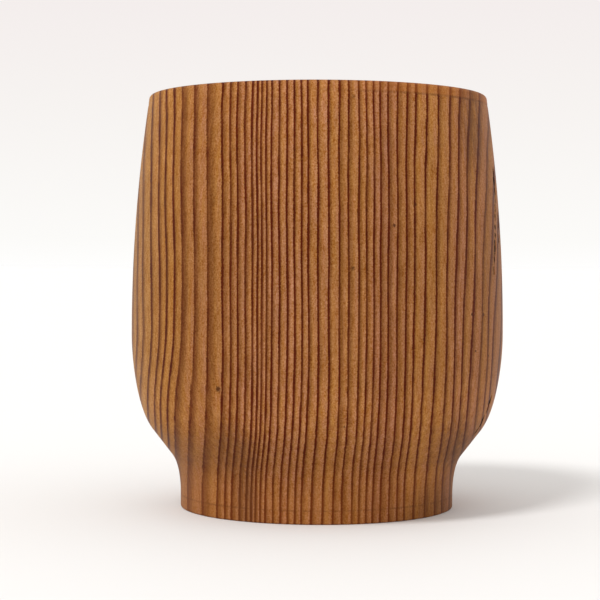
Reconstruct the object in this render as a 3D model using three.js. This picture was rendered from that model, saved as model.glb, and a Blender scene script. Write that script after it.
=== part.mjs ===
// Wooden cup without a handle, turned from one block of softwood and standing on a low foot.
// Millimetres. +Z is up, along the axis of turning, and the origin is the middle of the foot,
// on the surface that the cup stands on.

import * as THREE from 'three';

// Outside: driving dimensions
const HEIGHT = 88.3;              // foot to the top of the rim
const BELLY_RADIUS = 40;         // widest point of the outside
const BELLY_HEIGHT = 37.5;       // height of the widest point
const FLANK_ARC = 340;           // radius of the long curve from the belly up to the rim
const LOWER_ARC = 60;            // radius of the curve that runs down from the belly
const LOWER_ARC_DROP = 10.5;     // how far below the widest point that curve ends
const FOOT_RADIUS = 29.4;

// Shoulder and cove: the belly turns in, runs down a short cone and flares out of the foot
const SHOULDER_CORNER = { radius: 37.8, height: 19.7 };
const SHOULDER_END = { radius: 35.3, height: 16.6 };
const COVE_START = { radius: 31.3, height: 11.4 };
const COVE_CORNER = { radius: 29.3, height: 8.7 };
const FOOT_WALL_TOP = 1.5;
const FOOT_EDGE_BREAK = 0.4;     // small bevel where the foot meets the table

// Rim: a soft lip
const LIP_ROUND = 1.2;           // how far the rounding reaches down and in
const LIP_THICKNESS = 3.7;

// Inside: the wall is thickest at the bottom of the bowl
const BELLY_WALL = 4.5;
const INSIDE_WIDEST_HEIGHT = 42;
const FLOOR_HEIGHT = 10;         // lowest point of the inside
const FLOOR_FLAT_RADIUS = 9;
const BOWL_UPPER_HANDLE = { radius: 35.5, height: 22 };
const BOWL_LOWER_HANDLE = { radius: 29, height: 10.3 };

// Underside: a flat ring round a shallow dish
const FOOT_RING_WIDTH = 5.6;
const FOOT_DISH_DEPTH = 1.6;
const FOOT_DISH_FULLNESS = 0.8;  // 1 keeps the dish flat right up to the ring

const SEGMENTS = 64;             // facets round the cup, a multiple of four
const CURVE_STEPS = 4;           // points along each curve of the outline, twice that on an arc

// Radius of a curve that bulges to `widest` at `middle`, at a given height
function bulgeRadius(widest, middle, arc, height) {
  return widest - arc + Math.sqrt(arc ** 2 - (height - middle) ** 2);
}

// Arc that bulges to `widest` at `middle`, between two heights, appended to an outline
function addBulge(outline, widest, middle, arc, fromHeight, toHeight) {
  const fromAngle = Math.asin((fromHeight - middle) / arc);
  const toAngle = Math.asin((toHeight - middle) / arc);
  outline.absarc(widest - arc, middle, arc, fromAngle, toAngle, toAngle < fromAngle);
}

// Underside and foot, from the axis out to the foot's outer edge
function addFoot(outline) {
  const dishRadius = FOOT_RADIUS - FOOT_EDGE_BREAK - FOOT_RING_WIDTH;
  outline.moveTo(0, FOOT_DISH_DEPTH);
  outline.quadraticCurveTo(dishRadius * FOOT_DISH_FULLNESS, FOOT_DISH_DEPTH, dishRadius, 0);
  outline.lineTo(FOOT_RADIUS - FOOT_EDGE_BREAK, 0);
  outline.lineTo(FOOT_RADIUS, FOOT_EDGE_BREAK);
  outline.lineTo(FOOT_RADIUS, FOOT_WALL_TOP);
}

// Outside of the cup, from the foot up to the start of the lip
function addOutside(outline) {
  const shoulderTop = BELLY_HEIGHT - LOWER_ARC_DROP;
  const lipStart = HEIGHT - LIP_ROUND;
  outline.quadraticCurveTo(
    COVE_CORNER.radius, COVE_CORNER.height, COVE_START.radius, COVE_START.height);
  outline.lineTo(SHOULDER_END.radius, SHOULDER_END.height);
  outline.quadraticCurveTo(
    SHOULDER_CORNER.radius, SHOULDER_CORNER.height,
    bulgeRadius(BELLY_RADIUS, BELLY_HEIGHT, LOWER_ARC, shoulderTop), shoulderTop);
  addBulge(outline, BELLY_RADIUS, BELLY_HEIGHT, LOWER_ARC, shoulderTop, BELLY_HEIGHT);
  addBulge(outline, BELLY_RADIUS, BELLY_HEIGHT, FLANK_ARC, BELLY_HEIGHT, lipStart);
}

// Rounded lip, over the top from the outside to the inside
function addLip(outline) {
  const lipStart = HEIGHT - LIP_ROUND;
  const outer = bulgeRadius(BELLY_RADIUS, BELLY_HEIGHT, FLANK_ARC, lipStart);
  const inner = outer - LIP_THICKNESS;
  outline.quadraticCurveTo(outer, HEIGHT, outer - LIP_ROUND, HEIGHT);
  outline.lineTo(inner + LIP_ROUND, HEIGHT);
  outline.quadraticCurveTo(inner, HEIGHT, inner, lipStart);
}

// Inside of the bowl, from the lip down to the middle of its floor
function addInside(outline) {
  const lipStart = HEIGHT - LIP_ROUND;
  const widest = BELLY_RADIUS - BELLY_WALL;
  const mouth = bulgeRadius(BELLY_RADIUS, BELLY_HEIGHT, FLANK_ARC, lipStart) - LIP_THICKNESS;
  const rise = lipStart - INSIDE_WIDEST_HEIGHT;
  const draw = widest - mouth;
  const insideArc = (rise ** 2 + draw ** 2) / (2 * draw);
  addBulge(outline, widest, INSIDE_WIDEST_HEIGHT, insideArc, lipStart, INSIDE_WIDEST_HEIGHT);
  outline.bezierCurveTo(
    BOWL_UPPER_HANDLE.radius, BOWL_UPPER_HANDLE.height,
    BOWL_LOWER_HANDLE.radius, BOWL_LOWER_HANDLE.height,
    FLOOR_FLAT_RADIUS, FLOOR_HEIGHT);
  outline.lineTo(0, FLOOR_HEIGHT);
}

// Half section of the whole cup, radius across and height up
function cupOutline() {
  const outline = new THREE.Path();
  addFoot(outline);
  addOutside(outline);
  addLip(outline);
  addInside(outline);
  return outline.getPoints(CURVE_STEPS);
}

const wood = new THREE.MeshStandardMaterial({
  color: 0xa8703c,
  roughness: 0.55,
  metalness: 0,
});

const turnedCup = new THREE.Mesh(new THREE.LatheGeometry(cupOutline(), SEGMENTS), wood);
turnedCup.name = 'turned_cup';
turnedCup.rotation.x = Math.PI / 2;

const cup = new THREE.Group();
cup.add(turnedCup);

export default cup;
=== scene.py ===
"""A handleless cup turned from one block of straight-grained softwood, on a pale studio floor.

The cup is one closed, finely divided surface of revolution that stands for the CAD node turned_cup.
Its outline repeats the CAD outline, in design millimetres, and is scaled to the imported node's box.
Growth rings are a field in space, worked out for every point of the mesh, so the same years run
through the outside, the lip, the bowl and the foot. The material's nodes turn them into wood.
"""
import math
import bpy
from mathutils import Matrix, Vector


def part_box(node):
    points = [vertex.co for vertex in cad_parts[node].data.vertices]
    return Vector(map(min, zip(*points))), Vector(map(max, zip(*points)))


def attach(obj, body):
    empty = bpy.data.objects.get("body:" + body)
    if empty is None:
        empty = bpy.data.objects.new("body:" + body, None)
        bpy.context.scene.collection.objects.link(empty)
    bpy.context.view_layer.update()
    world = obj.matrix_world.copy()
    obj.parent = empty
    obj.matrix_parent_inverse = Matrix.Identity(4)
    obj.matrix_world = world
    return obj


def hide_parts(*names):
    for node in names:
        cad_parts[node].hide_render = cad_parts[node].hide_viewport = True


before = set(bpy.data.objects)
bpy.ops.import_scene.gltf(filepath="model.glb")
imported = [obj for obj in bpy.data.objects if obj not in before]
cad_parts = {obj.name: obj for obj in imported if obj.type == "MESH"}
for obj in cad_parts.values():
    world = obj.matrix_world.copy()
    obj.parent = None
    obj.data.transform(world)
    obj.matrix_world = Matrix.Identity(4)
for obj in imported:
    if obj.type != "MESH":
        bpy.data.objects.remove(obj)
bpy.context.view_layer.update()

from types import SimpleNamespace

import bpy
import numpy as np
from mathutils import Vector

NODE = "turned_cup"
BODY = "root"

# Outline of the cup, in design millimetres
HEIGHT = 88.3
BELLY_RADIUS = 40
BELLY_HEIGHT = 37.5
FLANK_ARC = 340
LOWER_ARC = 60
LOWER_ARC_DROP = 10.5
FOOT_RADIUS = 29.4
SHOULDER_CORNER = (37.8, 19.7)
SHOULDER_END = (35.3, 16.6)
COVE_START = (31.3, 11.4)
COVE_CORNER = (29.3, 8.7)
FOOT_WALL_TOP = 1.5
FOOT_EDGE_BREAK = 0.4
LIP_ROUND = 1.2
LIP_THICKNESS = 3.7
BELLY_WALL = 4.5
INSIDE_WIDEST_HEIGHT = 42
FLOOR_HEIGHT = 10
FLOOR_FLAT_RADIUS = 9
BOWL_UPPER_HANDLE = (35.5, 22)
BOWL_LOWER_HANDLE = (29, 10.3)
FOOT_RING_WIDTH = 5.6
FOOT_DISH_DEPTH = 1.6
FOOT_DISH_FULLNESS = 0.8

# Mesh spacing, in design millimetres
EDGE_STEP = 0.18
DETAIL_STEP = 0.40
OUTSIDE_STEP = 1.1
INSIDE_STEP = 2.0
COLUMN_STEP = 0.9
DETAIL_COLUMN_STEP = 0.30
# How far below the rim the close rows reach, outside and inside
RIM_ROWS_OUTSIDE = 3
RIM_ROWS_INSIDE = 2
ANGLE_SAMPLES = 7201

# Fine lines turned into the outside: (height, depth, half width)
RIM_LINE = (86.1, 0.05, 0.35)
FOOT_LINE = (2.8, 0.04, 0.25)

# Pits along the grain on one flank. Angles run from -Y towards +X
PIT_SECTOR = (65, 92)
PIT_SECTOR_BLEND = 3
UPPER_PITS = (50, 73)
# Each row of pits: (angle at its foot, angle at its head, lowest, highest, how many, half width,
# half height, depth)
PIT_ROWS = (
    (66.5, 73.5, 51, 66, 9, 0.48, 0.95, 0.40),
    (74.0, 75.2, 67.5, 71.5, 3, 0.95, 1.40, 0.50),
    (75.0, 76.5, 57, 62.5, 5, 0.55, 0.80, 0.40),
    (68.0, 70.5, 17.5, 24, 6, 0.48, 1.05, 0.45),
    (80.5, 84.5, 16.5, 24.5, 9, 0.80, 0.90, 0.75),
)
# Painted shade fills each pit nearly to its edge
PIT_SHADE_SPREAD = 7
# How far a pit strays from its row, in mm of height and in degrees, and the range of its size and width
PIT_STRAY_UP = 0.4
PIT_STRAY_ROUND = 0.3
PIT_SIZES = (0.6, 1.6)
PIT_WIDTHS = (0.7, 1.2)
PIT_SEED = 11

# Growth rings in broad zones, from the outer side of the tree inwards, along +X. Each zone: (years,
# width of one ring, how far the brown fades past the dark line, how brown it starts, how dark the
# line is, how brown the whole ring is)
RING_ZONES = (
    (10, 1.5, 0.4, 0.45, 0.75, 0.00),
    (4, 1.5, 0.5, 0.50, 0.95, 0.00),
    (3, 2.6, 1.5, 0.80, 0.90, 0.10),
    (4, 1.4, 0.8, 0.60, 1.00, 0.05),
    (4, 0.9, 0.3, 0.50, 1.00, 0.00),
    (5, 1.4, 0.5, 0.50, 1.00, 0.00),
    (5, 2.0, 1.0, 0.55, 1.05, 0.00),
    (3, 1.4, 0.6, 0.55, 1.00, 0.00),
    (4, 1.7, 1.0, 0.55, 1.05, 0.10),
    (7, 2.1, 0.7, 0.55, 1.05, 0.05),
    (7, 1.6, 0.8, 0.60, 0.90, 0.20),
)
# How much one ring differs from its zone, as a share: its width, its fade, its line's darkness
YEAR_JITTER = 0.16
FADE_JITTER = 0.45
DARK_JITTER = 0.05
DARK_LINE = 0.46
FIRST_YEAR_AT = -48.5
RING_SEED = 5
# The rings are arcs round the middle of the tree, far out along +X, a little warped
TREE_RADIUS = 300
TREE_MIDDLE_Y = -14
WARP_MIDDLE = (0, -38, 44)
WARP_REACH = (40, 20, 44)
WARP_LIMIT = 1.6
LEAN_WITH_DEPTH = -0.9
LEAN_AT_SIDES = -1.7
SPREAD_WITH_DEPTH = -1.4
# Low on the -X side the years also bend outwards: (by how much, x where it starts and ends,
# height where it starts and ends)
SIDE_BEND = (1.2, -22, -30, 39, 22)
WAVES = 7
WAVE_SIZE = 0.045
WAVE_LENGTHS = ((14, 10, 22), (40, 30, 70))
WAVE_SEED = 3
# A year's look holds from a little before its start to this share of its width, and edges are softened
YEAR_LEAD = 0.1
YEAR_HOLD = 0.55
EDGE_SOFTENING = 0.12

# Darker, greyer patches on the front: stains, and painted shade in the two low on the +X side: (x,
# height, half width, half height, strength)
STAINS_AND_SHADE = (
    (-17.5, 15.5, 3.6, 7.0, 0.30),
    (-14.0, 12.0, 2.4, 5.0, 0.30),
    (-14.5, 4.0, 2.6, 6.0, 0.45),
    (28.5, 14.5, 5.0, 8.0, 0.60),
    (31.5, 82.0, 3.2, 12.0, 0.55),
    (25.0, 2.0, 8.0, 5.0, 0.45),
)
STAIN_AND_SHADE_REACH = 1.5
# Small dark specks on the front: (x, y, height, radius), all within the skin of the wood
SPECKS = (
    (-19.8, -33.8, 27.5, 0.55), (-25.4, -27.0, 20.8, 0.35), (31.1, -25.2, 42.2, 0.40),
    (33.8, -21.3, 42.0, 0.35), (32.0, -24.0, 34.7, 0.30), (35.2, -19.0, 33.5, 0.30),
    (6.5, -38.9, 51.4, 0.45), (19.0, -34.3, 64.0, 0.40), (14.6, -36.4, 59.8, 0.35),
    (6.6, -36.4, 85.0, 0.40), (-10.0, -38.6, 57.5, 0.35), (5.0, -36.9, 20.5, 0.30),
)

# Camera and studio, in design millimetres
CAMERA_AT = (-3.72, -368.46, 51.93)
CAMERA_AIM_HEIGHT = 44.45
CAMERA_ROLL = 0.2
CAMERA_LENS = 102
SENSOR_WIDTH = 36
FLOOR_SIZE = 60000
KEY_FROM = (-0.65, -0.76, 1.52)
KEY_STRENGTH = 1.42
KEY_SOFTNESS = 13
FLOOR_COLOUR = (0.80, 0.795, 0.785, 1)
FLOOR_ROUGHNESS = 0.7
FLOOR_SPECULAR = 0.1
# The surroundings: (sine of the angle above the horizon, colour)
SURROUNDINGS = (
    (0.0, (1.0, 0.995, 0.985, 1)),
    (0.015, (0.975, 0.965, 0.945, 1)),
    (0.09, (0.93, 0.90, 0.88, 1)),
    (0.15, (0.905, 0.855, 0.845, 1)),
    (0.4, (0.90, 0.885, 0.87, 1)),
    (1.0, (0.98, 0.965, 0.95, 1)),
)


# Outline

def bulge_radius(widest, middle, arc, height):
    """Radius, at a height, of an arc that bulges to widest at middle."""
    return widest - arc + np.sqrt(arc ** 2 - (height - middle) ** 2)


def bulge(widest, middle, arc, heights):
    return np.column_stack([bulge_radius(widest, middle, arc, heights), heights])


def steps(start, end, step):
    """Evenly spaced values from start to end, no further apart than step."""
    count = max(1, math.ceil(abs(end - start) / step))
    return np.linspace(start, end, count + 1)


def curve(points, step):
    """Points along a Bezier curve of two or more control points, about step apart."""
    controls = np.array(points, float)
    reach = np.linalg.norm(np.diff(controls, axis=0), axis=1).sum()
    t = steps(0, 1, step / reach)[:, None]
    layers = [np.tile(p, (len(t), 1)) for p in controls]
    while len(layers) > 1:
        layers = [a * (1 - t) + b * t for a, b in zip(layers, layers[1:])]
    return layers[0]


def outside_heights():
    """Heights of the belly's rows: close together where the pits are."""
    shoulder_top = BELLY_HEIGHT - LOWER_ARC_DROP
    low, high = UPPER_PITS
    return np.concatenate([
        steps(shoulder_top, BELLY_HEIGHT, OUTSIDE_STEP),
        steps(BELLY_HEIGHT, low, OUTSIDE_STEP),
        steps(low, high, DETAIL_STEP),
        steps(high, HEIGHT - RIM_ROWS_OUTSIDE, OUTSIDE_STEP),
        steps(HEIGHT - RIM_ROWS_OUTSIDE, HEIGHT - LIP_ROUND, EDGE_STEP),
    ])


def cup_outline():
    """Half section of the cup, (radius, height), from the middle of the foot to the bowl's floor."""
    lip_start = HEIGHT - LIP_ROUND
    dish_radius = FOOT_RADIUS - FOOT_EDGE_BREAK - FOOT_RING_WIDTH
    shoulder_top = BELLY_HEIGHT - LOWER_ARC_DROP
    shoulder_radius = bulge_radius(BELLY_RADIUS, BELLY_HEIGHT, LOWER_ARC, shoulder_top)
    mouth_outside = bulge_radius(BELLY_RADIUS, BELLY_HEIGHT, FLANK_ARC, lip_start)
    mouth_inside = mouth_outside - LIP_THICKNESS
    inside_widest = BELLY_RADIUS - BELLY_WALL
    rise = lip_start - INSIDE_WIDEST_HEIGHT
    draw = inside_widest - mouth_inside
    inside_arc = (rise ** 2 + draw ** 2) / (2 * draw)
    heights = outside_heights()
    arcs = np.where(heights < BELLY_HEIGHT, LOWER_ARC, FLANK_ARC)
    inside_heights = np.concatenate([
        steps(lip_start, lip_start - RIM_ROWS_INSIDE, EDGE_STEP * 2),
        steps(lip_start - RIM_ROWS_INSIDE, INSIDE_WIDEST_HEIGHT, INSIDE_STEP),
    ])
    parts = [
        curve([(0, FOOT_DISH_DEPTH), (dish_radius * FOOT_DISH_FULLNESS, FOOT_DISH_DEPTH),
               (dish_radius, 0)], INSIDE_STEP),
        curve([(dish_radius, 0), (FOOT_RADIUS - FOOT_EDGE_BREAK, 0)], OUTSIDE_STEP),
        curve([(FOOT_RADIUS - FOOT_EDGE_BREAK, 0), (FOOT_RADIUS, 0), (FOOT_RADIUS, FOOT_EDGE_BREAK)],
              EDGE_STEP),
        curve([(FOOT_RADIUS, FOOT_EDGE_BREAK), (FOOT_RADIUS, FOOT_WALL_TOP)], DETAIL_STEP),
        curve([(FOOT_RADIUS, FOOT_WALL_TOP), COVE_CORNER, COVE_START], DETAIL_STEP),
        curve([COVE_START, SHOULDER_END], DETAIL_STEP),
        curve([SHOULDER_END, SHOULDER_CORNER, (shoulder_radius, shoulder_top)], DETAIL_STEP),
        bulge(BELLY_RADIUS, BELLY_HEIGHT, arcs, heights),
        curve([(mouth_outside, lip_start), (mouth_outside, HEIGHT), (mouth_outside - LIP_ROUND, HEIGHT)],
              EDGE_STEP),
        curve([(mouth_outside - LIP_ROUND, HEIGHT), (mouth_inside + LIP_ROUND, HEIGHT)], EDGE_STEP * 2),
        curve([(mouth_inside + LIP_ROUND, HEIGHT), (mouth_inside, HEIGHT), (mouth_inside, lip_start)],
              EDGE_STEP),
        bulge(inside_widest, INSIDE_WIDEST_HEIGHT, inside_arc, inside_heights),
        curve([(inside_widest, INSIDE_WIDEST_HEIGHT), BOWL_UPPER_HANDLE, BOWL_LOWER_HANDLE,
               (FLOOR_FLAT_RADIUS, FLOOR_HEIGHT)], INSIDE_STEP),
        curve([(FLOOR_FLAT_RADIUS, FLOOR_HEIGHT), (0, FLOOR_HEIGHT)], INSIDE_STEP),
    ]
    points = np.vstack(parts)
    apart = np.linalg.norm(np.diff(points, axis=0), axis=1) > 1e-6
    return points[np.append(True, apart)]


def column_angles():
    """Angles of the mesh's columns, in degrees: close together over the pits, wider elsewhere."""
    fine = math.degrees(DETAIL_COLUMN_STEP / BELLY_RADIUS)
    coarse = math.degrees(COLUMN_STEP / BELLY_RADIUS)
    low, high = PIT_SECTOR
    samples = np.linspace(-180, 180, ANGLE_SAMPLES)
    outside = np.maximum(low - samples, samples - high)
    blend = np.clip(outside / PIT_SECTOR_BLEND, 0, 1)
    density = 1 / (fine + (coarse - fine) * blend)
    total = np.concatenate([[0], np.cumsum((density[1:] + density[:-1]) / 2 * np.diff(samples))])
    count = math.ceil(total[-1])
    return np.interp(np.arange(count) * total[-1] / count, total, samples)


# Turned lines and pits

def dip(distance, half_width):
    """1 in the middle of a dent, falling smoothly to 0 at its edge."""
    t = np.clip(np.abs(distance) / half_width, 0, 1)
    return (1 - t ** 2) ** 2


def turned_lines(heights):
    return sum(depth * dip(heights - height, half) for height, depth, half in (RIM_LINE, FOOT_LINE))


def pits(angles, heights):
    """How deep the pits are, in mm, and how much painted shade they hold, for a grid of angles (degrees)
    and heights.
    """
    random = np.random.default_rng(PIT_SEED)
    depth = np.zeros(np.broadcast(angles, heights).shape)
    dark = np.zeros_like(depth)
    across = math.radians(1) * BELLY_RADIUS
    for foot, head, low, high, count, half_width, half_height, deepest in PIT_ROWS:
        places = np.linspace(low, high, count) + random.normal(0, PIT_STRAY_UP, count)
        for place in places:
            size = random.uniform(*PIT_SIZES)
            at = np.interp(place, (low, high), (foot, head)) + random.normal(0, PIT_STRAY_ROUND)
            wide = half_width * random.uniform(*PIT_WIDTHS)
            sideways = (angles - at) * across / wide
            upright = (heights - place) / (half_height * size)
            shape = dip(np.hypot(sideways, upright), 1)
            depth = np.maximum(depth, shape * deepest * min(1, size))
            dark = np.maximum(dark, np.minimum(1, shape * PIT_SHADE_SPREAD))
    return depth, dark


# Growth rings

def ring_years():
    """Where each year begins along the tree's radius, each year's width, and its late wood's look."""
    random = np.random.default_rng(RING_SEED)
    widths = []
    looks = []
    for years, width, fade, brown, dark, overall in RING_ZONES:
        shares = 1 + YEAR_JITTER * random.uniform(-1, 1, years)
        shares *= years / shares.sum()
        widths += [width * share for share in shares]
        for _ in range(years):
            own_fade = fade * (1 + FADE_JITTER * random.uniform(-1, 1))
            own_dark = dark * (1 + DARK_JITTER * random.uniform(-1, 1))
            looks.append((own_fade, brown, own_dark, overall))
    starts = FIRST_YEAR_AT + np.concatenate([[0], np.cumsum(widths)])
    return starts, np.array(widths), np.array(looks)


def of_its_year(place, starts, widths, values):
    """Each year's own value, which turns into the next year's over the last part of the ring."""
    knots = np.column_stack([starts[:-1] - YEAR_LEAD, starts[:-1] + YEAR_HOLD * widths]).ravel()
    return np.interp(place, knots, np.repeat(values, 2))


def ease(t):
    """Smooth change from 0 to 1 as t goes from 0 to 1."""
    t = np.clip(t, 0, 1)
    return t * t * (3 - 2 * t)


def waves(points):
    """Slight long waves in the grain: a sum of slow ripples, up to about WAVE_SIZE each."""
    random = np.random.default_rng(WAVE_SEED)
    total = np.zeros(len(points))
    for _ in range(WAVES):
        lengths = random.uniform(*WAVE_LENGTHS)
        phase = random.uniform(0, 2 * math.pi)
        total += WAVE_SIZE * np.sin(points @ (2 * math.pi / lengths) + phase)
    return total


def along_radius(points):
    """Distance of each point along the tree's radius, in mm, 0 near the cup's axis."""
    x, y, z = points.T
    across, depth, up = ((points - WARP_MIDDLE) / WARP_REACH).T
    depth = WARP_LIMIT * np.tanh(depth / WARP_LIMIT)
    warp = LEAN_WITH_DEPTH * depth * up + LEAN_AT_SIDES * across ** 3 * up
    warp += SPREAD_WITH_DEPTH * across * depth
    bend, x_start, x_end, z_start, z_end = SIDE_BEND
    warp += bend * ease((x - x_start) / (x_end - x_start)) * ease((z - z_start) / (z_end - z_start))
    return TREE_RADIUS - np.hypot(TREE_RADIUS - x, y - TREE_MIDDLE_Y) + warp + waves(points)


def ring_fields(points):
    """The year that each point grew in, counted with its fraction, and that year's measures."""
    starts, widths, looks = ring_years()
    place = along_radius(points)
    shifts = (-EDGE_SOFTENING, 0, EDGE_SOFTENING)
    nearby = [np.interp(place + shift, starts, np.arange(len(starts))) for shift in shifts]
    middles = (starts[:-1] + starts[1:]) / 2
    return {
        "year": sum(nearby) / len(nearby),
        "ring_width": np.interp(place, middles, widths),
        "late_width": of_its_year(place, starts, widths, looks[:, 0]),
        "late_brown": of_its_year(place, starts, widths, looks[:, 1]),
        "late_dark": of_its_year(place, starts, widths, looks[:, 2]),
        "brownness": of_its_year(place, starts, widths, looks[:, 3]),
    }


def stain_and_shade_field(points):
    """How much stain and painted shade each point has: 0 clean to 1."""
    x, y, z = points.T
    total = np.zeros(len(points))
    for at_x, at_z, half_x, half_z, strength in STAINS_AND_SHADE:
        spread = np.hypot((x - at_x) / half_x, (z - at_z) / half_z)
        total += strength * dip(spread, STAIN_AND_SHADE_REACH) * (y < 0)
    return np.minimum(total, 1)


# The cup's mesh

def build_cup(middle, unit):
    """The cup as one closed mesh. middle is the foot's middle, unit is metres per design mm."""
    outline = cup_outline()
    radii, heights = outline[1:-1].T
    rise = np.gradient(heights)
    run = np.gradient(radii)
    end_grain = np.abs(run) / np.hypot(run, rise)
    widest_inside = np.argmax(heights)
    is_outside = np.arange(len(radii)) <= widest_inside
    degrees = column_angles()
    turn = np.radians(degrees)

    depth, dark = pits(degrees[None, :], heights[:, None])
    upright = (np.abs(run) < 2 * np.abs(rise)) & is_outside & (heights > FOOT_EDGE_BREAK)
    depth *= upright[:, None]
    dark *= upright[:, None]
    grooves = turned_lines(heights) * upright
    reach = radii[:, None] - depth - grooves[:, None]
    rows, columns = reach.shape
    grid = np.stack([
        reach * np.sin(turn),
        -reach * np.cos(turn),
        np.broadcast_to(heights[:, None], reach.shape),
    ], axis=-1).reshape(-1, 3)
    poles = np.array([(0, 0, outline[0, 1]), (0, 0, outline[-1, 1])])
    points = np.vstack([grid, poles])

    row = np.arange(rows - 1)[:, None] * columns
    here = np.arange(columns)[None, :]
    after = (here + 1) % columns
    quads = np.stack([row + here, row + after, row + columns + after, row + columns + here], axis=-1)
    faces = quads.reshape(-1, 4).tolist()
    first, last = rows * columns, rows * columns + 1
    top = (rows - 1) * columns
    faces += [(first, int(b), int(a)) for a, b in zip(here[0], after[0])]
    faces += [(last, top + int(a), top + int(b)) for a, b in zip(here[0], after[0])]

    mesh = bpy.data.meshes.new("cup_surface")
    mesh.from_pydata((points * unit + np.array(middle)).tolist(), [], faces)
    mesh.polygons.foreach_set("use_smooth", [True] * len(mesh.polygons))
    fields = ring_fields(points)
    # The pits' painted shade, as a point attribute
    fields["pit"] = np.append(dark.ravel(), (0, 0))
    fields["end_grain"] = np.append(np.repeat(end_grain, columns), (1, 1))
    fields["inside"] = np.append(np.repeat(1.0 - is_outside, columns), (0, 1))
    fields["height"] = points[:, 2]
    fields["stain_and_shade"] = stain_and_shade_field(points)
    for name, values in fields.items():
        attribute = mesh.attributes.new(name, "FLOAT", "POINT")
        attribute.data.foreach_set("value", values.astype(np.float32))
    mesh.update()
    cup = bpy.data.objects.new("cup_body", mesh)
    bpy.context.scene.collection.objects.link(cup)
    return cup


# Material helpers

def shade(red, green, blue):
    """A colour given as 0-255 screen values, as the linear RGBA that shaders take."""
    values = [v / 255 for v in (red, green, blue)]
    return tuple(v / 12.92 if v <= 0.04045 else ((v + 0.055) / 1.055) ** 2.4 for v in values) + (1,)


class Nodes:
    """Short calls for building a node tree: values are numbers, colours or other nodes' outputs."""

    def __init__(self, tree):
        self.tree = tree
        tree.nodes.clear()

    def add(self, kind, inputs=(), **settings):
        node = self.tree.nodes.new(kind)
        for name, value in settings.items():
            setattr(node, name, value)
        for name, value in dict(inputs).items():
            self.put(value, node.inputs[name])
        return node

    def put(self, value, socket):
        if isinstance(value, bpy.types.NodeSocket):
            self.tree.links.new(value, socket)
        else:
            socket.default_value = value

    def math(self, operation, *values, clamp=False):
        node = self.add("ShaderNodeMath", enumerate(values), operation=operation, use_clamp=clamp)
        return node.outputs[0]

    def attribute(self, name):
        return self.add("ShaderNodeAttribute", attribute_name=name).outputs["Fac"]

    def mix(self, amount, first, second, blend="MIX"):
        node = self.add("ShaderNodeMix", data_type="RGBA", blend_type=blend)
        colours = [s for s in node.inputs if s.type == "RGBA"]
        self.put(amount, node.inputs[0])
        self.put(first, colours[0])
        self.put(second, colours[1])
        return next(s for s in node.outputs if s.type == "RGBA")

    def mix_value(self, amount, first, second):
        node = self.add("ShaderNodeMix", {0: amount, 2: first, 3: second}, data_type="FLOAT")
        return node.outputs[0]

    def range(self, value, low, high, to_low=0, to_high=1, smooth=False):
        """value, taken from low..high to to_low..to_high, and held there beyond."""
        node = self.add(
            "ShaderNodeMapRange",
            {"Value": value, "From Min": low, "From Max": high, "To Min": to_low, "To Max": to_high},
            interpolation_type="SMOOTHSTEP" if smooth else "LINEAR",
        )
        return node.outputs["Result"]

    def ramp(self, value, stops, interpolation="LINEAR"):
        """A colour ramp: stops are (position, colour)."""
        node = self.add("ShaderNodeValToRGB", {"Fac": value})
        elements = node.color_ramp.elements
        node.color_ramp.interpolation = interpolation
        while len(elements) < len(stops):
            elements.new(1)
        for element, (position, colour) in zip(elements, stops):
            element.position = position
            element.color = colour
        return node.outputs["Color"]

    def stretched(self, per_mm, unit):
        """Position in design mm, times per_mm (x, y, z)."""
        place = self.add("ShaderNodeTexCoord").outputs["Object"]
        mapping = self.add("ShaderNodeMapping", {"Vector": place})
        mapping.inputs["Scale"].default_value = [v / unit for v in per_mm]
        return mapping.outputs["Vector"]

    def noise(self, vector, detail=2.0, roughness=0.5, scale=1.0):
        node = self.add(
            "ShaderNodeTexNoise",
            {"Vector": vector, "Scale": scale, "Detail": detail, "Roughness": roughness},
        )
        return node.outputs["Fac"]


# Wood: colours

EARLY_GOLD = shade(159, 107, 50)
EARLY_WOOD = shade(158, 105, 58)
EARLY_PINK = shade(159, 105, 72)
# Sapwood, with a painted sheen
SAPWOOD_AND_SHEEN = shade(166, 124, 76)
LATE_WOOD = shade(78, 22, 0)
LATE_PURPLE = shade(80, 25, 4)
ORANGE = shade(160, 92, 40)
# Painted shade in the pits
PIT_SHADE_COLOUR = shade(22, 9, 4)
# The specks' colour, also used as painted shade in the turned lines' grooves
SPECK_AND_GROOVE_SHADE_COLOUR = shade(62, 26, 8)
STAIN_AND_SHADE_COLOUR = shade(80, 48, 26)

# Wood: how fine each noise is, per mm along (x, y, z). The grain runs along z
SLOW_WAVER = (1.1, 1.1, 0.12)
FINE_WAVER = (4.2, 4.2, 2.6)
ALONG_LINES = (0.9, 0.9, 0.05)
PATCHES = (1.2, 1.2, 0.25)
SLOW_CHANGE = (0.16, 0.16, 0.018)
STREAKS = (1.5, 1.5, 0.05)
FIBRES = (5.0, 5.0, 0.30)
BLOTCHES = (0.5, 0.5, 0.08)
TURNING_MARKS = (0.05, 0.05, 3.5)
CUT_CELLS = (3.3, 3.3, 2.9)
RAYS = (0.12, 1.6, 2.6)

# Wood: strengths, as shares, and distances in mm
SLOW_WAVER_SIZE = 0.18
FINE_WAVER_SIZE = 0.20
LINE_EDGE = 0.08
# Paler and greyer on the -X flank: sapwood, and a painted sheen where the key light falls
SAPWOOD_AND_SHEEN_SHARE = 0.55
SAPWOOD_AND_SHEEN_FROM_TO = (-41, -31)
GOLDEN_FROM_TO = (-36, -10)
END_GRAIN_SHADE = 0.82
GRIT_GAINS = (1.45, 2.25, 4.2)
LEAST_GRIT = 0.2
RAY_SHARE = 0.16
RIM_SIDE_FROM_TO = (2, 20)
RIM_BAND_SHARE = 0.40
PAINTED_GROOVE_SHADE = 0.45
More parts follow.
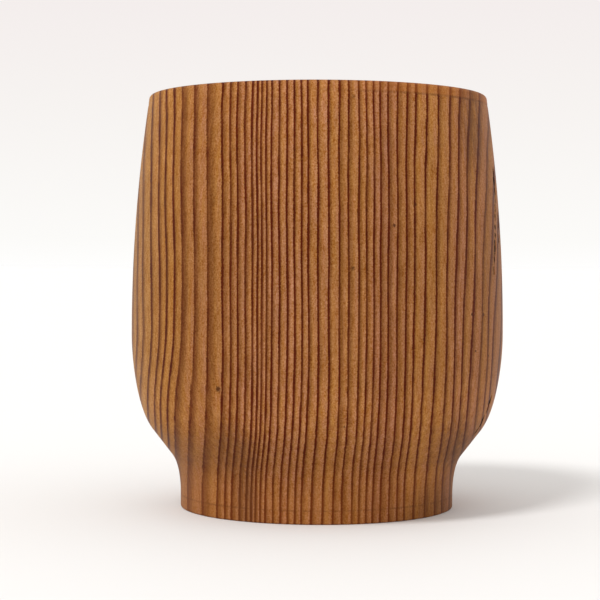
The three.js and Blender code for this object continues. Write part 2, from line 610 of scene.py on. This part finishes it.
# Painted shade: warmer and darker towards the foot, from the first height down to the second
FOOT_SHADE_FROM_TO = (15, 5)
FOOT_SHADE_SHARE = 0.20
SPECK_SHARE = 0.85
BUMP_STRENGTH = 0.6
BUMP_HEIGHT = 0.10
ROUGHNESS = (0.44, 0.58)
SPECULAR_LEVEL = 0.055
# Painted light and shade: how bright the wood is painted at each height in mm, palest at the rim and the
# shoulder
PAINTED_LIGHT_BY_HEIGHT = (
    (0, 0.93), (5, 1.02), (10, 1.08), (20, 1.19), (32, 1.02), (52, 0.97), (76, 1.06), (84, 1.12),
    (88.3, 1.20),
)


def textures(n, unit):
    """The noises and measures that several of the wood's layers share."""
    place = n.stretched((1, 1, 1), unit)
    return SimpleNamespace(
        place=place,
        across=n.add("ShaderNodeSeparateXYZ", {"Vector": place}).outputs["X"],
        height=n.attribute("height"),
        outside=n.math("SUBTRACT", 1.0, n.attribute("inside")),
        patches=n.noise(n.stretched(PATCHES, unit), detail=3, roughness=0.6),
        slow=n.noise(n.stretched(SLOW_CHANGE, unit), detail=2),
        streaks=n.noise(n.stretched(STREAKS, unit), detail=3, roughness=0.6),
        fibres=n.noise(n.stretched(FIBRES, unit), detail=4, roughness=0.6),
        blotches=n.noise(n.stretched(BLOTCHES, unit), detail=3),
        turning=n.noise(n.stretched(TURNING_MARKS, unit), detail=3, roughness=0.6),
        cells=n.noise(n.stretched(CUT_CELLS, unit), detail=2, roughness=0.7),
    )


def wavering_year(n, unit):
    """The year, with edges that waver slowly along the grain and finely from cell to cell."""
    slow = n.math("SUBTRACT", n.noise(n.stretched(SLOW_WAVER, unit), detail=3), 0.5)
    fine = n.noise(n.stretched(FINE_WAVER, unit), detail=3, roughness=0.7)
    fine = n.math("MULTIPLY", n.math("SUBTRACT", fine, 0.5), FINE_WAVER_SIZE)
    waver = n.math("ADD", n.math("MULTIPLY", slow, SLOW_WAVER_SIZE), fine)
    return n.math("ADD", n.attribute("year"), waver)


def late_share(n, unit, year, own_dark, patches):
    """How much late wood there is: a dark line, then brown that fades into early wood."""
    from_edge = n.math("MULTIPLY", n.math("FRACT", year), n.attribute("ring_width"))
    line = n.math("SUBTRACT", 1.0, n.range(from_edge, DARK_LINE * 0.8, DARK_LINE * 1.35, smooth=True))
    line = n.math("MULTIPLY", line, n.range(from_edge, 0.0, LINE_EDGE, smooth=True))
    past_line = n.math("DIVIDE", n.math("SUBTRACT", from_edge, DARK_LINE), n.attribute("late_width"))
    brown = n.math("SUBTRACT", 1.0, n.range(past_line, 0.0, 1.0, smooth=True))
    brown = n.math("MULTIPLY", brown, n.attribute("late_brown"))
    brown = n.math("MULTIPLY", brown, n.range(from_edge, 0.0, LINE_EDGE))
    along = n.noise(n.stretched(ALONG_LINES, unit), detail=2)
    strength = n.math("MULTIPLY", n.attribute("late_dark"), n.range(own_dark, 0, 1, 0.94, 1.05))
    strength = n.math("MULTIPLY", strength, n.range(along, 0.3, 0.7, 0.88, 1.10))
    late = n.math("MULTIPLY", n.math("MAXIMUM", line, brown), strength)
    all_brown = n.math("MULTIPLY", n.attribute("brownness"), n.range(patches, 0.3, 0.7, 0.5, 1.5))
    all_brown = n.math("ADD", all_brown, n.range(patches, 0.55, 0.8, 0, 0.14))
    return n.math("MINIMUM", n.math("MAXIMUM", late, all_brown), 1.0)


def early_colour(n, year, own_hue, t):
    """Early wood: each year a little different, with slow changes along the grain."""
    hue = n.math("ADD", n.math("MULTIPLY", own_hue, 0.3), n.range(t.streaks, 0.25, 0.75, -0.25, 0.30))
    hue = n.math("ADD", hue, n.math("MULTIPLY", t.slow, 0.4))
    hue = n.math("ADD", hue, n.range(n.math("FRACT", year), 0.35, 1.0, 0.0, 0.45))
    hue = n.math("SUBTRACT", hue, n.range(t.across, *GOLDEN_FROM_TO, 0.35, 0))
    early = n.ramp(hue, ((0.20, EARLY_GOLD), (0.55, EARLY_WOOD), (0.95, EARLY_PINK)))
    # Sapwood and painted sheen on the -X flank
    return n.mix(n.range(t.across, *SAPWOOD_AND_SHEEN_FROM_TO, SAPWOOD_AND_SHEEN_SHARE, 0), early, SAPWOOD_AND_SHEEN)


def times(n, colour, factors):
    """A colour times one factor for each of red, green and blue."""
    tint = n.add("ShaderNodeCombineColor", dict(enumerate(factors))).outputs["Color"]
    return n.mix(1.0, colour, tint, blend="MULTIPLY")


def brightness(n, t):
    """Fibres, blotches, faint turning marks and end grain change the brightness, and painted light and
    shade by height change it too.
    """
    marks = n.range(t.turning, 0.3, 0.7, -0.035, 0.035)
    bright = n.math("ADD", n.range(t.fibres, 0.25, 0.75, 0.86, 1.14), marks)
    bright = n.math("MULTIPLY", bright, n.range(t.blotches, 0.25, 0.75, 0.92, 1.08))
    end_grain = n.range(n.attribute("end_grain"), 0.2, 1.0, 1.0, END_GRAIN_SHADE)
    bright = n.math("MULTIPLY", bright, end_grain)
    level = n.math("DIVIDE", t.height, HEIGHT)
    # Painted light and shade by height, on the outside only
    stops = [(mm / HEIGHT, (share / 2,) * 3 + (1,)) for mm, share in PAINTED_LIGHT_BY_HEIGHT]
    painted_light = n.math("MULTIPLY", n.ramp(level, stops, "EASE"), 2.0)
    return n.math("MULTIPLY", bright, n.mix_value(n.attribute("inside"), painted_light, 1.0))


def grit_of(n, t):
    """Cut cells: paler and darker fine specks, above and below 0."""
    patchy = n.math("MULTIPLY", n.math("SUBTRACT", t.patches, 0.5), 0.5)
    return n.math("ADD", n.math("SUBTRACT", t.cells, 0.5), patchy)


def with_grit(n, colour, grit):
    """Paler specks are greyer and darker ones richer in colour."""
    gains = [n.math("ADD", 1.0, n.math("MULTIPLY", grit, gain)) for gain in GRIT_GAINS]
    return times(n, colour, [n.math("MAXIMUM", gain, LEAST_GRIT) for gain in gains])


def with_rays(n, unit, colour):
    """Rays: short fine flecks that lie along the tree's radius."""
    rays = n.noise(n.stretched(RAYS, unit), detail=2, roughness=0.5)
    return n.mix(n.range(rays, 0.62, 0.78, 0, RAY_SHARE), colour, EARLY_GOLD)


def with_turned_lines(n, colour, t):
    """A warmer band above the line under the rim, mostly on the +X side, and painted shade in the lines'
    grooves, stronger at the rim on the +X side.
    """
    rim_height = RIM_LINE[0]
    one_side = n.range(t.across, *RIM_SIDE_FROM_TO)
    band = n.range(t.height, rim_height - 0.2, rim_height + 0.4, 0, RIM_BAND_SHARE)
    band = n.math("MULTIPLY", band, t.outside)
    colour = n.mix(n.math("MULTIPLY", band, one_side), colour, ORANGE)
    # Painted shade in the grooves of the turned lines
    for line_height, _, half_width in (RIM_LINE, FOOT_LINE):
        away = n.math("ABSOLUTE", n.math("SUBTRACT", t.height, line_height))
        groove_shade = n.range(away, half_width * 0.3, half_width, PAINTED_GROOVE_SHADE, 0)
        groove_shade = n.math("MULTIPLY", groove_shade, n.range(t.blotches, 0.4, 0.6, 0.3, 1))
        if line_height == rim_height:
            groove_shade = n.math("MULTIPLY", groove_shade, n.range(one_side, 0, 1, 0.12, 1))
        colour = n.mix(groove_shade, colour, SPECK_AND_GROOVE_SHADE_COLOUR)
    return colour


def with_marks(n, colour, grit, t):
    """Painted shade towards the foot, darker patches of stain and painted shade, specks, and painted
    shade in the pits.
    """
    # Painted shade: the outside turns warmer and darker towards the foot
    foot_shade = n.range(t.height, *FOOT_SHADE_FROM_TO, 0, FOOT_SHADE_SHARE)
    colour = n.mix(n.math("MULTIPLY", t.outside, foot_shade), colour, ORANGE)
    # Stains, and painted shade in the patches low on the +X side
    stain_and_shade = n.math("MULTIPLY", n.attribute("stain_and_shade"), n.range(t.streaks, 0.35, 0.62, 0.45, 1.2))
    colour = n.mix(stain_and_shade, colour, STAIN_AND_SHADE_COLOUR)
    nearest = 9.0
    for x, y, z, radius in SPECKS:
        spot = n.add("ShaderNodeVectorMath", {0: t.place, 1: (x, y, z)}, operation="DISTANCE")
        nearest = n.math("MINIMUM", n.math("DIVIDE", spot.outputs["Value"], radius), nearest)
    nearest = n.math("ADD", nearest, n.math("MULTIPLY", grit, 1.6))
    colour = n.mix(n.range(nearest, 0.5, 1.3, SPECK_SHARE, 0), colour, SPECK_AND_GROOVE_SHADE_COLOUR)
    # Painted shade in the pits, with ragged edges
    ragged = n.math("ADD", n.attribute("pit"), n.math("MULTIPLY", grit, 0.9))
    return n.mix(n.range(ragged, 0.30, 0.6), colour, PIT_SHADE_COLOUR)


def relief(n, unit, late, t):
    """Late wood stands a hair above the softer early wood, fibres show, turning left rings."""
    height = n.math("ADD", n.math("MULTIPLY", late, 0.5), n.math("MULTIPLY", t.fibres, 0.5))
    height = n.math("ADD", height, n.math("MULTIPLY", t.cells, 0.25))
    height = n.math("ADD", height, n.math("MULTIPLY", t.turning, 0.35))
    inputs = {"Height": height, "Strength": BUMP_STRENGTH, "Distance": BUMP_HEIGHT * unit}
    return n.add("ShaderNodeBump", inputs).outputs["Normal"]


def roughness(n, late, t):
    rough = n.range(t.fibres, 0.3, 0.7, *ROUGHNESS)
    rough = n.math("SUBTRACT", rough, n.math("MULTIPLY", late, 0.06))
    return n.math("ADD", rough, n.math("MULTIPLY", n.attribute("pit"), 0.3), clamp=True)


def wood_material(unit):
    material = bpy.data.materials.new("oiled_softwood")
    material.use_nodes = True
    n = Nodes(material.node_tree)
    t = textures(n, unit)
    year = wavering_year(n, unit)
    own = n.add("ShaderNodeTexWhiteNoise", {"W": n.math("FLOOR", year)}, noise_dimensions="1D")
    own_parts = n.add("ShaderNodeSeparateColor", {"Color": own.outputs["Color"]}).outputs
    late = late_share(n, unit, year, own_parts["Green"], t.patches)
    late_colour = n.mix(n.range(t.slow, 0.35, 0.65), LATE_WOOD, LATE_PURPLE)
    colour = n.mix(late, early_colour(n, year, own_parts["Blue"], t), late_colour)
    colour = times(n, colour, [brightness(n, t)] * 3)
    grit = grit_of(n, t)
    colour = with_grit(n, colour, grit)
    colour = with_rays(n, unit, colour)
    colour = with_turned_lines(n, colour, t)
    colour = with_marks(n, colour, grit, t)
    shader = n.add("ShaderNodeBsdfPrincipled", {
        "Base Color": colour,
        "Roughness": roughness(n, late, t),
        "Normal": relief(n, unit, late, t),
        "Specular IOR Level": SPECULAR_LEVEL,
    })
    n.add("ShaderNodeOutputMaterial", {"Surface": shader.outputs["BSDF"]})
    return material


# Studio

def add_floor(unit, height):
    half = FLOOR_SIZE * unit / 2
    corners = [(-half, -half, height), (half, -half, height), (half, half, height), (-half, half, height)]
    mesh = bpy.data.meshes.new("floor")
    mesh.from_pydata(corners, [], [(0, 1, 2, 3)])
    floor = bpy.data.objects.new("studio_floor", mesh)
    bpy.context.scene.collection.objects.link(floor)
    material = bpy.data.materials.new("pale_floor")
    material.use_nodes = True
    shader = material.node_tree.nodes["Principled BSDF"]
    shader.inputs["Base Color"].default_value = FLOOR_COLOUR
    shader.inputs["Roughness"].default_value = FLOOR_ROUGHNESS
    shader.inputs["Specular IOR Level"].default_value = FLOOR_SPECULAR
    mesh.materials.append(material)


def add_world():
    """Soft white surroundings, a little greyer above the horizon."""
    world = bpy.data.worlds.new("soft_surroundings")
    bpy.context.scene.world = world
    world.use_nodes = True
    n = Nodes(world.node_tree)
    direction = n.add("ShaderNodeTexCoord").outputs["Generated"]
    up = n.add("ShaderNodeSeparateXYZ", {"Vector": direction}).outputs["Z"]
    colour = n.ramp(up, SURROUNDINGS)
    shader = n.add("ShaderNodeBackground", {"Color": colour, "Strength": 1.0})
    n.add("ShaderNodeOutputWorld", {"Surface": shader.outputs["Background"]})


def aim(thing, target):
    direction = Vector(target) - thing.location
    thing.rotation_euler = direction.to_track_quat("-Z", "Y").to_euler()


def add_key():
    """A soft light from high up, in front and to the left, the same over the whole floor."""
    data = bpy.data.lights.new("key", "SUN")
    data.energy = KEY_STRENGTH
    data.angle = math.radians(KEY_SOFTNESS)
    light = bpy.data.objects.new("key", data)
    bpy.context.scene.collection.objects.link(light)
    light.location = Vector(KEY_FROM)
    aim(light, (0, 0, 0))


def add_camera(middle, unit):
    data = bpy.data.cameras.new("camera")
    data.sensor_width = SENSOR_WIDTH
    data.lens = CAMERA_LENS
    data.clip_end = FLOOR_SIZE * unit * 2
    camera = bpy.data.objects.new("camera", data)
    bpy.context.scene.collection.objects.link(camera)
    camera.location = middle + Vector(CAMERA_AT) * unit
    aim(camera, middle + Vector((CAMERA_AT[0], 0, CAMERA_AIM_HEIGHT)) * unit)
    camera.rotation_euler.rotate_axis("Z", math.radians(CAMERA_ROLL))
    bpy.context.scene.camera = camera


low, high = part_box(NODE)
unit = (high.z - low.z) / HEIGHT
middle = Vector(((low.x + high.x) / 2, (low.y + high.y) / 2, low.z))

add_camera(middle, unit)
cup = build_cup(middle, unit)
cup.data.materials.append(wood_material(unit))
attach(cup, BODY)
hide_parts(NODE)
add_floor(unit, low.z)
add_world()
add_key()
bpy.context.scene.view_settings.view_transform = "Standard"
